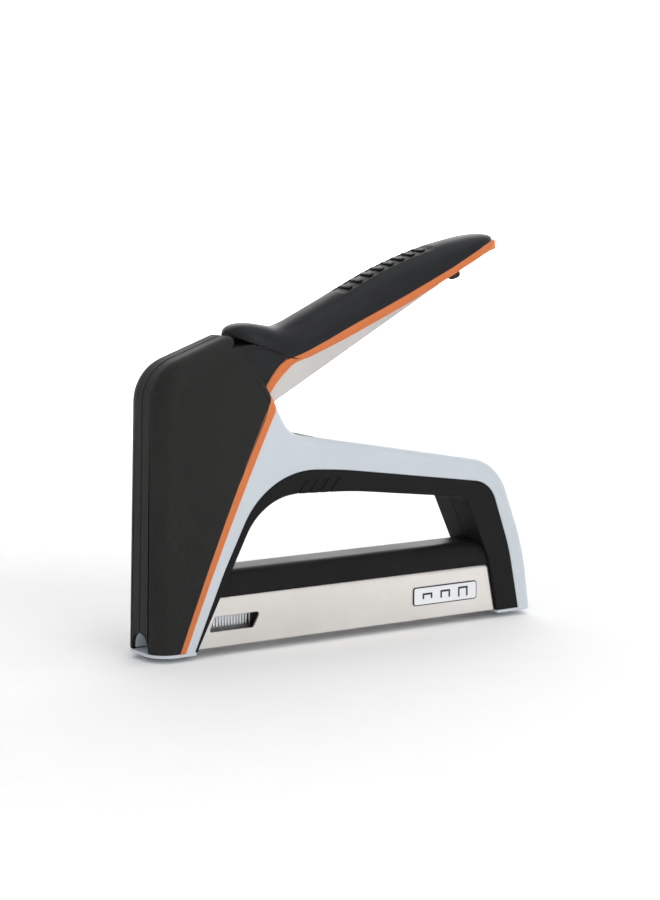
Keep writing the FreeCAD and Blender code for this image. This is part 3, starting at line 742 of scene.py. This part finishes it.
def buildSprings():
    length = mainSpring["top"] - mainSpring["bottom"]
    mesh = coilMesh("mainSpring", mainSpring["radius"], mainSpring["wire"], length, mainSpring["turns"],
                    Matrix.Translation(place(mainSpring["x"], 0, mainSpring["bottom"])))
    coil = newPiece("main_spring_coil", mesh, "spring_steel", "housing", "main_spring")
    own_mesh(coil)
    low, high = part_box("pusher_spring")
    length = (high.x - low.x) * 1000 - pusherSpring["wire"]
    turn = Matrix.Rotation(math.pi / 2, 4, "Y")
    start = Vector((low.x + pusherSpring["wire"] / 2000, 0, pusherSpring["z"] / 1000))
    mesh = coilMesh("pusherSpring", pusherSpring["radius"], pusherSpring["wire"], length,
                    pusherSpring["turns"], Matrix.Translation(start) @ turn)
    coil = newPiece("pusher_spring_coil", mesh, "spring_steel", "magazine_slide", "pusher_spring")
    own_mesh(coil)


buildSprings()
print("springs wound")


# staples

staple = {"count": 25, "pitch": 1.27, "gap": 0.09, "crown": 10.6, "wire": 0.5, "top": 16.3, "bottom": 9.9,
          "front": 11.4, "round": 0.16}


def stapleMesh():
    # one staple: a folded flat wire with softened corners, open downwards.
    half = staple["crown"] / 2
    wire = staple["wire"]
    rows = [
        (-half, staple["bottom"]), (-half, staple["top"] - 0.35), (-half + 0.12, staple["top"] - 0.1),
        (-half + 0.35, staple["top"]), (half - 0.35, staple["top"]), (half - 0.12, staple["top"] - 0.1),
        (half, staple["top"] - 0.35), (half, staple["bottom"]),
        (half - wire, staple["bottom"]), (half - wire, staple["top"] - wire),
        (-half + wire, staple["top"] - wire), (-half + wire, staple["bottom"]),
    ]
    shape = bmesh.new()
    width = staple["pitch"] - staple["gap"]
    front = [shape.verts.new((0, y / 1000, z / 1000)) for y, z in rows]
    back = [shape.verts.new((width / 1000, y / 1000, z / 1000)) for y, z in rows]
    shape.faces.new(front)
    shape.faces.new(list(reversed(back)))
    for i in range(len(rows)):
        j = (i + 1) % len(rows)
        shape.faces.new((front[j], front[i], back[i], back[j]))
    bmesh.ops.recalc_face_normals(shape, faces=shape.faces)
    rims = [edge for edge in shape.edges if abs(edge.verts[0].co.x - edge.verts[1].co.x) < 1e-7]
    bmesh.ops.bevel(shape, geom=rims, offset=staple["round"] / 1000, segments=2, profile=0.5,
                    affect="EDGES")
    return toMesh(shape, "staple")


def buildStaples():
    mesh = rowMesh("staples", stapleMesh(), "staple_zinc", staple["count"], place(staple["front"], 0, 0),
                   (staple["pitch"] / 1000, 0, 0))
    smoothShade(mesh, 40.0)
    return newPiece("staple_strip_row", mesh, "staple_zinc", "housing", "staple_strip")


buildStaples()
print("staples laid")


# body screws

screws = {"places": [(31.0, 62.0), (82.0, 69.5), (126.0, 61.5), (162.3, 33.0)], "head": 2.95, "height": 2.0,
          "socket": 1.45, "socketDepth": 1.2, "shank": 1.65, "noseHalf": 13.0, "taper": 2.2,
          "seat": 3.0, "around": 48, "shankLength": 8.0}


def screwMesh():
    # pan head with a six-sided socket, axis along +Y, its seat at the origin.
    profile = [
        (screws["shank"], -screws["shankLength"]), (screws["shank"], 0.0),
        (screws["head"], 0.0), (screws["head"], 0.9), (screws["head"] - 0.25, 1.45),
        (screws["head"] - 0.8, 1.85), (screws["head"] - 1.2, screws["height"]),
    ]
    around = screws["around"]
    shape = bmesh.new()
    loops = []
    for radius, height in profile:
        ring = []
        for i in range(around):
            turn = 2 * math.pi * i / around
            ring.append(shape.verts.new((radius * math.cos(turn) / 1000, height / 1000,
                                         radius * math.sin(turn) / 1000)))
        loops.append(ring)
    for height in (screws["height"], screws["height"] - screws["socketDepth"]):
        ring = []
        for i in range(around):
            turn = 2 * math.pi * i / around
            side = (turn % (math.pi / 3)) - math.pi / 6
            radius = screws["socket"] * math.cos(math.pi / 6) / math.cos(side)
            ring.append(shape.verts.new((radius * math.cos(turn) / 1000, height / 1000,
                                         radius * math.sin(turn) / 1000)))
        loops.append(ring)
    for a, b in zip(loops, loops[1:]):
        for i in range(around):
            j = (i + 1) % around
            shape.faces.new((a[i], a[j], b[j], b[i]))
    shape.faces.new(loops[0])
    shape.faces.new(loops[-1])
    bmesh.ops.recalc_face_normals(shape, faces=shape.faces)
    return toMesh(shape, "screw")


def buildScrews():
    points = [place(x, screws["noseHalf"] - screws["taper"] * x / toolLength - screws["seat"], z)
              for x, z in screws["places"]]
    mesh = copiesAt("bodyScrews", screwMesh(), "screw_steel", points, 0.0)
    smoothShade(mesh, 35.0)
    return newPiece("body_screw_set", mesh, "screw_steel", "housing", "body_screws")


buildScrews()
print("screws set")


# label plates

label = {"x0": 114.5, "x1": 144.5, "z0": 8.8, "z1": 16.0, "corner": 1.2, "thick": 0.34, "rim": 0.42,
         "rimHeight": 0.44, "legs": (2.2, 3.0, 3.8), "crown": 4.6, "stroke": 0.75, "shroudHalf": 9.8,
         "iconStart": 121.0, "iconStep": 8.4, "iconMiddle": 12.4, "iconRaise": 0.05}


def roundedRect(x0, x1, z0, z1, radius, steps=7):
    points = []
    for cx, cz, start in ((x1 - radius, z1 - radius, 0), (x0 + radius, z1 - radius, 90),
                          (x0 + radius, z0 + radius, 180), (x1 - radius, z0 + radius, 270)):
        for i in range(steps + 1):
            turn = math.radians(start + 90 * i / steps)
            points.append((cx + radius * math.cos(turn), cz + radius * math.sin(turn)))
    return points


def plateFrom(shape, points, side, low, high, slotIndex):
    # A flat plate standing on the shroud's side, from height low to high above it.
    base = [shape.verts.new(place(x, side * (label["shroudHalf"] + low), z)) for x, z in points]
    top = [shape.verts.new(place(x, side * (label["shroudHalf"] + high), z)) for x, z in points]
    faces = [shape.faces.new(base), shape.faces.new(top)]
    for i in range(len(points)):
        j = (i + 1) % len(points)
        faces.append(shape.faces.new((base[i], base[j], top[j], top[i])))
    for face in faces:
        face.material_index = slotIndex


def stapleIcon(x, z, leg):
    # outline of a staple sign: a crown with two legs.
    half = label["crown"] / 2
    stroke = label["stroke"]
    top = z + leg
    return [(x - half, z), (x - half, top), (x + half, top), (x + half, z),
            (x + half - stroke, z), (x + half - stroke, top - stroke),
            (x - half + stroke, top - stroke), (x - half + stroke, z)]


def buildLabel(name, side, replaced):
    shape = bmesh.new()
    outer = roundedRect(label["x0"], label["x1"], label["z0"], label["z1"], label["corner"])
    rim = label["rim"]
    inner = roundedRect(label["x0"] + rim, label["x1"] - rim, label["z0"] + rim, label["z1"] - rim,
                        label["corner"] - rim)
    plateFrom(shape, outer, side, 0.0, label["thick"], 1)
    plateFrom(shape, inner, side, 0.02, label["rimHeight"], 0)
    for i, leg in enumerate(label["legs"]):
        icon = stapleIcon(label["iconStart"] + label["iconStep"] * i, label["iconMiddle"] - leg / 2, leg)
        plateFrom(shape, icon, side, 0.3, label["rimHeight"] + label["iconRaise"], 1)
    bmesh.ops.recalc_face_normals(shape, faces=shape.faces)
    mesh = toMesh(shape, name)
    mesh.materials.append(finishes["label_white"])
    mesh.materials.append(finishes["latch_black"])
    return newPiece(name, mesh, "label_white", "housing", replaced)


buildLabel("left_label_badge", -1, "left_label_plate")
buildLabel("right_label_badge", 1, "right_label_plate")
print("label plates built")


# floor, light and camera

stage = {"size": 12.0, "curveRadius": 4.0, "wallHeight": 8.0, "behind": 1.2, "turn": -33.8,
         "curveSteps": 12}


def buildFloor():
    # A sheet that runs flat under the tool and turns up behind it.
    shape = bmesh.new()
    profile = [(-stage["size"], 0.0), (stage["behind"], 0.0)]
    for i in range(1, stage["curveSteps"] + 1):
        turn = math.pi / 2 * i / stage["curveSteps"]
        profile.append((stage["behind"] + stage["curveRadius"] * math.sin(turn),
                        stage["curveRadius"] * (1 - math.cos(turn))))
    profile.append((stage["behind"] + stage["curveRadius"], stage["wallHeight"]))
    turnZ = Matrix.Rotation(math.radians(stage["turn"]), 3, "Z")
    rows = []
    for side in (-stage["size"], stage["size"]):
        rows.append([shape.verts.new(turnZ @ Vector((side, y, z))) for y, z in profile])
    for i in range(len(profile) - 1):
        shape.faces.new((rows[0][i], rows[1][i], rows[1][i + 1], rows[0][i + 1]))
    mesh = toMesh(shape, "studio_floor")
    smoothShade(mesh, 60.0)
    floor = bpy.data.objects.new("studio_floor", mesh)
    scene.collection.objects.link(floor)
    board = NodeBoard("palePaper")
    grain = board.noise(60.0)
    board.colour(board.tint(grain, (0.915, 0.915, 0.915), (0.925, 0.925, 0.925)))
    board.shader.inputs["Roughness"].default_value = 0.9
    board.shader.inputs["Specular IOR Level"].default_value = 0.1
    mesh.materials.append(board.material)


buildFloor()

world = bpy.data.worlds.new("softStudio")
scene.world = world
world.use_nodes = True
world.node_tree.nodes["Background"].inputs["Color"].default_value = (1.0, 1.0, 1.0, 1)
world.node_tree.nodes["Background"].inputs["Strength"].default_value = 0.55

camera = {"position": (-0.56059, -0.83299, 0.20888), "azimuth": 33.8099, "drop": 7.8655, "lens": 108.0}
azimuth = math.radians(camera["azimuth"])
drop = math.radians(camera["drop"])
ahead = Vector((math.sin(azimuth) * math.cos(drop), math.cos(azimuth) * math.cos(drop), -math.sin(drop)))
right = Vector((math.cos(azimuth), -math.sin(azimuth), 0))
up = Vector((math.sin(azimuth) * math.sin(drop), math.cos(azimuth) * math.sin(drop), math.cos(drop)))


def softLight(name, side, depth, height, size, power, aim=(0, 0, 0.06), colour=(1, 1, 1)):
    # an area light placed as seen from the camera: to its side, along its view, and above the floor.
    flatAhead = Vector((ahead.x, ahead.y, 0)).normalized()
    data = bpy.data.lights.new(name, "AREA")
    data.shape = "RECTANGLE"
    data.size, data.size_y = size
    data.energy = power
    data.color = colour
    lamp = bpy.data.objects.new(name, data)
    scene.collection.objects.link(lamp)
    lamp.location = right * side + flatAhead * depth + Vector((0, 0, height))
    lamp.rotation_euler = (Vector(aim) - lamp.location).to_track_quat("-Z", "Y").to_euler()


softLight("keyRight", 0.5, -0.9, 0.5, (0.7, 0.6), 4.0)
softLight("fillLeft", -0.5, -0.8, 0.35, (0.4, 0.5), 0.4)
softLight("topLight", 0.3, -0.1, 1.1, (0.9, 0.7), 3.2)
softLight("backdropLight", 0.0, 1.6, 2.6, (4.0, 1.5), 420.0, aim=(2.8, 4.2, 0.6))

lens = bpy.data.cameras.new("sideView")
lens.lens = camera["lens"]
lens.sensor_width = 36.0
lens.clip_start = 0.01
lens.clip_end = 50.0
view = bpy.data.objects.new("sideView", lens)
scene.collection.objects.link(view)
turn = Matrix((right, up, -ahead)).transposed()
view.matrix_world = Matrix.Translation(Vector(camera["position"])) @ turn.to_4x4()
scene.camera = view
print("studio set up")
